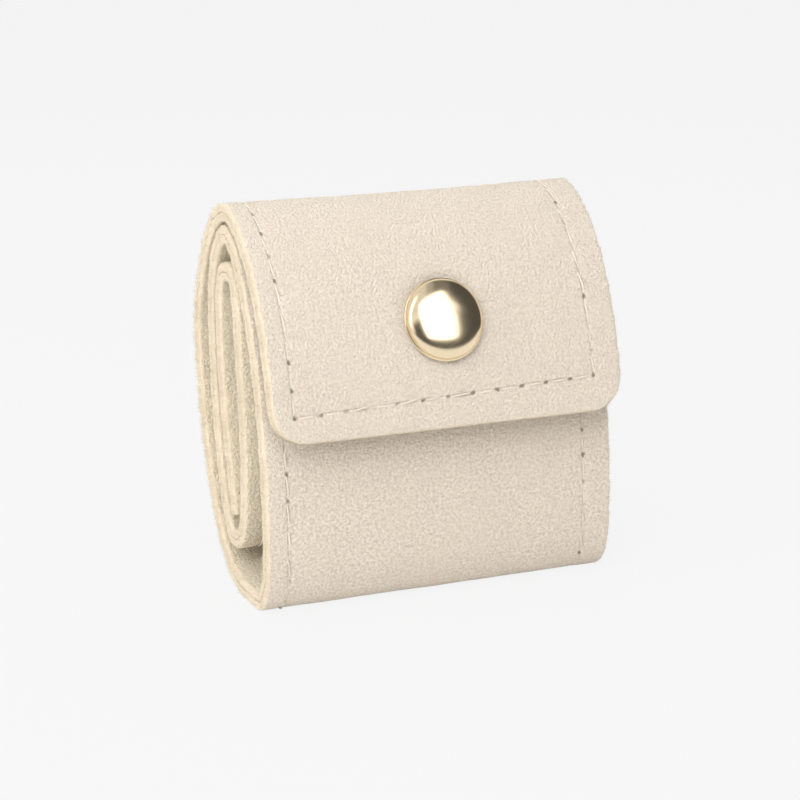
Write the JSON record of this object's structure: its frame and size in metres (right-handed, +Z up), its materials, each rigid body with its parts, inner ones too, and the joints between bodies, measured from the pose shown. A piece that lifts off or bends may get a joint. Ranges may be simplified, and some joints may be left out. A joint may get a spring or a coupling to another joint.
{
  "type": "earring pouch",
  "caption": "Small rolled pouch of stitched two-ply suede, with a round-cornered flap held by a domed snap.",
  "frame": {"origin": "under the middle of the closed pouch, at the level of the foot that it stands on", "axes": "+Z up, +X along the roll's width to the right as the flap is seen, -Y out of the front where the flap and cap are"},
  "size_m": [0.057, 0.0362, 0.06],
  "materials": {
    "suede_face": "brushed suede nap",
    "suede_lining": "brushed suede nap",
    "gilt": "polished pale gold plate",
    "spring": "drawn wire"
  },
  "bodies": {
    "roll": {"outer_suede_roll": "suede_face", "lining_suede_roll": "suede_lining", "snap_stud": "gilt", "snap_back_post": "gilt"},
    "flap": {"outer_suede_flap": "suede_face", "lining_suede_flap": "suede_lining", "snap_cap": "gilt", "snap_socket": "gilt", "snap_ring_spring": "spring"}
  },
  "joints": [
    {"name": "flap_hinge", "type": "hinge", "parent": "roll", "child": "flap", "pos_m": [0, -0.00313, 0.05771], "axis": [-1, 0, 0], "range_deg": [0, 160]}
  ]
}
